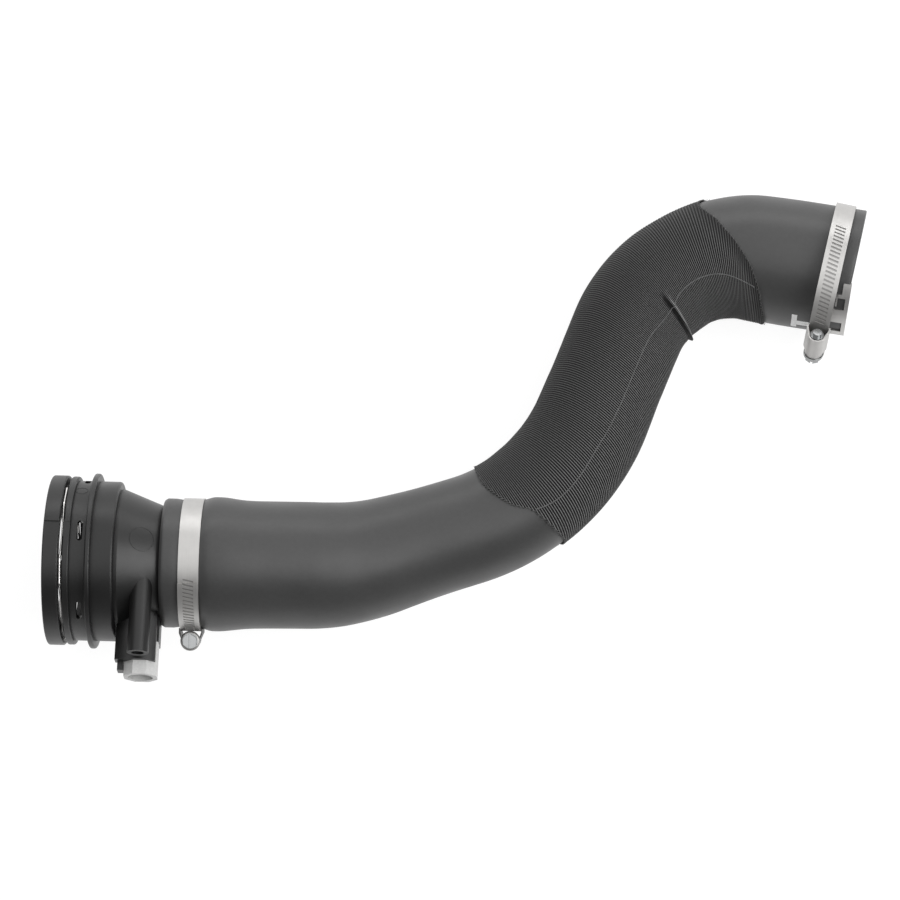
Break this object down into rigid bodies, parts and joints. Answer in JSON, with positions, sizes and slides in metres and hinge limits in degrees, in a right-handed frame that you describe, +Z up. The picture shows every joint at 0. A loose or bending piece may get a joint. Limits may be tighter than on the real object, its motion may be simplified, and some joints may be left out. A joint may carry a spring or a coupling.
{
  "type": "charge air hose",
  "caption": "Moulded rubber charge air hose with a plastic quick coupling, a knitted sleeve over its double bend and worm clamps.",
  "frame": {"origin": "on the coupling's axis at the entry of its sealing bore", "axes": "the coupling's mouth faces -X, the hose leaves along +X and bends towards +Y, +Z is up as the part lies"},
  "size_m": [0.443, 0.2755, 0.0964],
  "materials": {
    "black_plastic": "satin moulded",
    "seal_rubber": "smooth",
    "spring_steel": "bright drawn wire",
    "grey_plastic": "satin moulded",
    "hose_rubber": "matte moulded",
    "knit": "ribbed knit",
    "clamp_steel": "satin stainless",
    "screw_steel": "bright plated"
  },
  "bodies": {
    "hose_assembly": {"coupling_body": "black_plastic", "coupling_seal": "seal_rubber", "retaining_spring": "spring_steel", "sensor_port_plug": "grey_plastic", "hose": "hose_rubber", "sleeve": "knit", "left_clamp_band": "clamp_steel", "left_clamp_housing": "clamp_steel", "right_clamp_band": "clamp_steel", "right_clamp_housing": "clamp_steel", "right_clamp_clip": "clamp_steel"},
    "left_screw": {"left_clamp_screw": "screw_steel"},
    "right_screw": {"right_clamp_screw": "screw_steel"}
  },
  "joints": [
    {"name": "left_screw_turn", "type": "hinge", "parent": "hose_assembly", "child": "left_screw", "pos_m": [0.0536, -0.04205, 0], "axis": [0, 0, 1], "continuous": true},
    {"name": "right_screw_turn", "type": "hinge", "parent": "hose_assembly", "child": "right_screw", "pos_m": [0.38947, 0.129, 0.02394], "axis": [-0.0254, -0.6223, -0.7823], "continuous": true}
  ]
}
